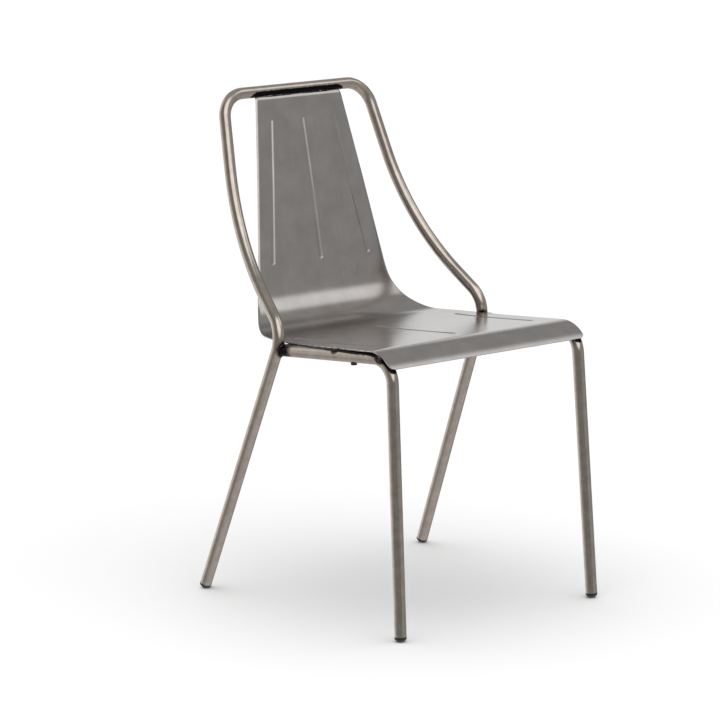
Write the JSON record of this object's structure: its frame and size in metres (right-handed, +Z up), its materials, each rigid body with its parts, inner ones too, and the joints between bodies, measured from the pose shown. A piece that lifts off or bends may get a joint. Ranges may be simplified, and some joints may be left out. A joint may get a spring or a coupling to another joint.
{
  "type": "chair",
  "caption": "Armless bistro chair: welded steel tube frame with splayed legs and a hoop back, seat and tapering back in one bent steel sheet with pressed grooves, black domed foot plugs.",
  "frame": {"origin": "on the floor, at the centre of the bounding box", "axes": "+Z up, the sitter faces -Y, +X is the side on the viewer's right when the chair is seen from the front; X = 0 is the plane of symmetry"},
  "size_m": [0.4854, 0.5206, 0.8],
  "materials": {
    "tube_steel": "raw mill steel tube under clear lacquer, warm brown grey, blued near the welds",
    "sheet_steel": "raw rolled steel sheet under clear lacquer, neutral grey",
    "weld_metal": "weld bead as laid, dark with heat tint, under clear lacquer",
    "foot_plastic": "black moulded plastic, satin"
  },
  "bodies": {
    "root": {"foot_front_left": "foot_plastic", "foot_front_right": "foot_plastic", "foot_rear_left": "foot_plastic", "foot_rear_right": "foot_plastic", "front_cross_tube": "tube_steel", "front_cross_weld_left": "weld_metal", "front_cross_weld_right": "weld_metal", "front_leg_rail_left": "tube_steel", "front_leg_rail_right": "tube_steel", "hoop_weld_left": "weld_metal", "hoop_weld_right": "weld_metal", "rail_weld_left": "weld_metal", "rail_weld_right": "weld_metal", "rear_cross_tube": "tube_steel", "rear_cross_weld_left": "weld_metal", "rear_cross_weld_right": "weld_metal", "rear_leg_hoop": "tube_steel", "seat_back_sheet": "sheet_steel", "seat_weld_front_left": "weld_metal", "seat_weld_front_right": "weld_metal", "seat_weld_middle_left": "weld_metal", "seat_weld_middle_right": "weld_metal", "seat_weld_rear_left": "weld_metal", "seat_weld_rear_right": "weld_metal", "stacking_buffer_left": "foot_plastic", "stacking_buffer_right": "foot_plastic"}
  },
  "joints": []
}
